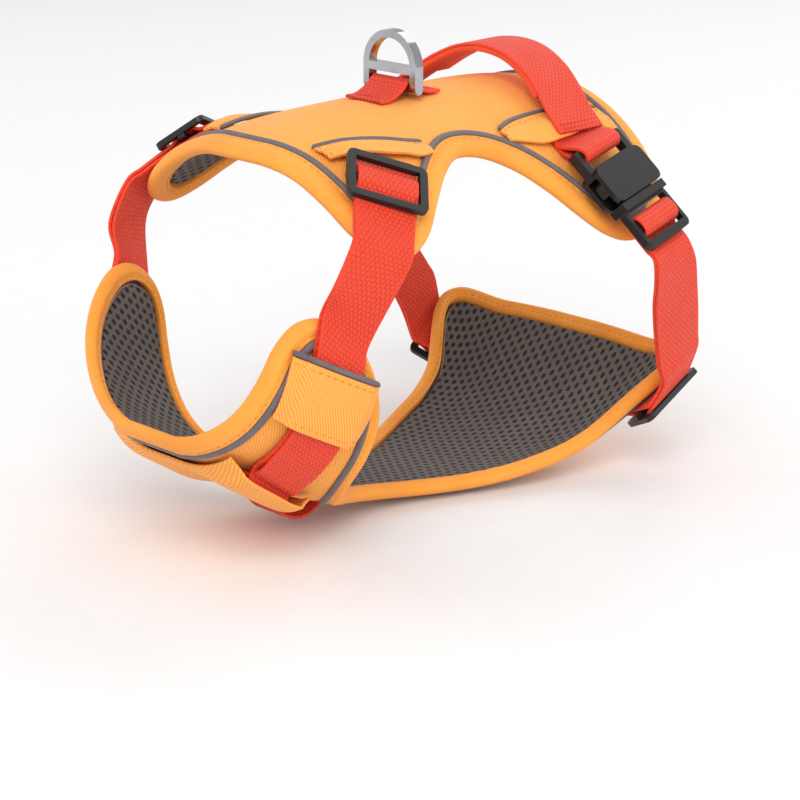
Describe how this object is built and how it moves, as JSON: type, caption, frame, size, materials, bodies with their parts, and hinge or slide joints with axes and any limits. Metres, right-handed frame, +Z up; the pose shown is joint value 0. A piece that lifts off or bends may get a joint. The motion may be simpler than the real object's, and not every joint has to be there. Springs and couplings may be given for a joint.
{
  "type": "no pull dog harness",
  "caption": "Padded no pull harness for a dog: back pad with handle and metal leash ring, chest pad with leash loop, adjustable shoulder and girth straps, side-release buckles.",
  "frame": {"origin": "middle of the wearer's chest cavity, on the mirror plane, halfway between the back pad's axis and the belly pad", "axes": "+Z up towards the wearer's back, the wearer faces -Y, +X is the wearer's left side"},
  "size_m": [0.1954, 0.2507, 0.1946],
  "materials": {
    "fabric_orange": "ribbed polyester shell and smooth folded binding",
    "web_red": "woven nylon webbing",
    "reflective_grey": "soft reflective piping",
    "mesh_grey": "spacer mesh with oval holes",
    "foam_cream": "open cell foam",
    "plastic_black": "moulded acetal",
    "polished_metal": "polished cast zinc"
  },
  "bodies": {
    "harness": {"back_shell": "fabric_orange", "back_foam": "foam_cream", "back_lining": "mesh_grey", "back_binding": "fabric_orange", "back_piping": "reflective_grey", "shoulder_flap_left": "fabric_orange", "shoulder_flap_right": "fabric_orange", "girth_flap_left": "fabric_orange", "girth_flap_right": "fabric_orange", "flap_piping": "reflective_grey", "chest_shell": "fabric_orange", "chest_foam": "foam_cream", "chest_lining": "mesh_grey", "chest_binding": "fabric_orange", "chest_piping": "reflective_grey", "keeper_left": "fabric_orange", "keeper_right": "fabric_orange", "keeper_piping": "reflective_grey", "chest_strip": "fabric_orange", "leash_loop": "web_red", "shoulder_strap_left": "web_red", "shoulder_strap_right": "web_red", "girth_strap_left": "web_red", "girth_strap_right": "web_red", "chest_ring_left": "plastic_black", "chest_ring_right": "plastic_black", "buckle_socket_left": "plastic_black", "buckle_socket_right": "plastic_black", "buckle_tab_left": "web_red", "buckle_tab_right": "web_red", "handle_webbing": "web_red", "handle_lining": "web_red", "d_ring_tab": "web_red"},
    "leash_ring": {"d_ring": "polished_metal"},
    "plug_left": {"buckle_plug_left": "plastic_black"},
    "prong_front_left": {"front_prong_left": "plastic_black"},
    "prong_rear_left": {"rear_prong_left": "plastic_black"},
    "shoulder_adjuster_left": {"shoulder_slider_left": "plastic_black"},
    "girth_adjuster_left": {"girth_slider_left": "plastic_black"},
    "plug_right": {"buckle_plug_right": "plastic_black"},
    "prong_front_right": {"front_prong_right": "plastic_black"},
    "prong_rear_right": {"rear_prong_right": "plastic_black"},
    "shoulder_adjuster_right": {"shoulder_slider_right": "plastic_black"},
    "girth_adjuster_right": {"girth_slider_right": "plastic_black"}
  },
  "joints": [
    {"name": "leash_ring_swing", "type": "hinge", "parent": "harness", "child": "leash_ring", "pos_m": [0, -0.004, 0.075], "axis": [1, 0, 0], "range_deg": [-55, 55]},
    {"name": "plug_left_release", "type": "slide", "parent": "harness", "child": "plug_left", "axis": [0.6602, 0.22, -0.7182], "range_m": [0, 0.022], "deforming": ["girth_strap_left"]},
    {"name": "prong_front_left_squeeze", "type": "hinge", "parent": "plug_left", "child": "prong_front_left", "pos_m": [0.08129, 0.04623, 0.03119], "axis": [-0.7362, 0, -0.6767], "range_deg": [0, 11], "stiffness_Nm_per_rad": 0.02},
    {"name": "prong_rear_left_squeeze", "type": "hinge", "parent": "plug_left", "child": "prong_rear_left", "pos_m": [0.07852, 0.06438, 0.0342], "axis": [0.7362, 0, 0.6767], "range_deg": [0, 11], "stiffness_Nm_per_rad": 0.02},
    {"name": "shoulder_adjuster_left_slide", "type": "slide", "parent": "harness", "child": "shoulder_adjuster_left", "axis": [0.598, -0.5741, -0.5593], "range_m": [-0.0012, 0.0012]},
    {"name": "girth_adjuster_left_slide", "type": "slide", "parent": "harness", "child": "girth_adjuster_left", "axis": [-0.8354, 0.3649, -0.4111], "range_m": [-0.0012, 0.0012]},
    {"name": "plug_right_release", "type": "slide", "parent": "harness", "child": "plug_right", "axis": [-0.6602, 0.22, -0.7182], "range_m": [0, 0.022], "deforming": ["girth_strap_right"]},
    {"name": "prong_front_right_squeeze", "type": "hinge", "parent": "plug_right", "child": "prong_front_right", "pos_m": [-0.08129, 0.04623, 0.03119], "axis": [-0.7362, 0, 0.6767], "range_deg": [0, 11], "stiffness_Nm_per_rad": 0.02},
    {"name": "prong_rear_right_squeeze", "type": "hinge", "parent": "plug_right", "child": "prong_rear_right", "pos_m": [-0.07852, 0.06438, 0.0342], "axis": [0.7362, 0, -0.6767], "range_deg": [0, 11], "stiffness_Nm_per_rad": 0.02},
    {"name": "shoulder_adjuster_right_slide", "type": "slide", "parent": "harness", "child": "shoulder_adjuster_right", "axis": [-0.598, -0.5741, -0.5593], "range_m": [-0.0012, 0.0012]},
    {"name": "girth_adjuster_right_slide", "type": "slide", "parent": "harness", "child": "girth_adjuster_right", "axis": [0.8354, 0.3649, -0.4111], "range_m": [-0.0012, 0.0012]}
  ]
}
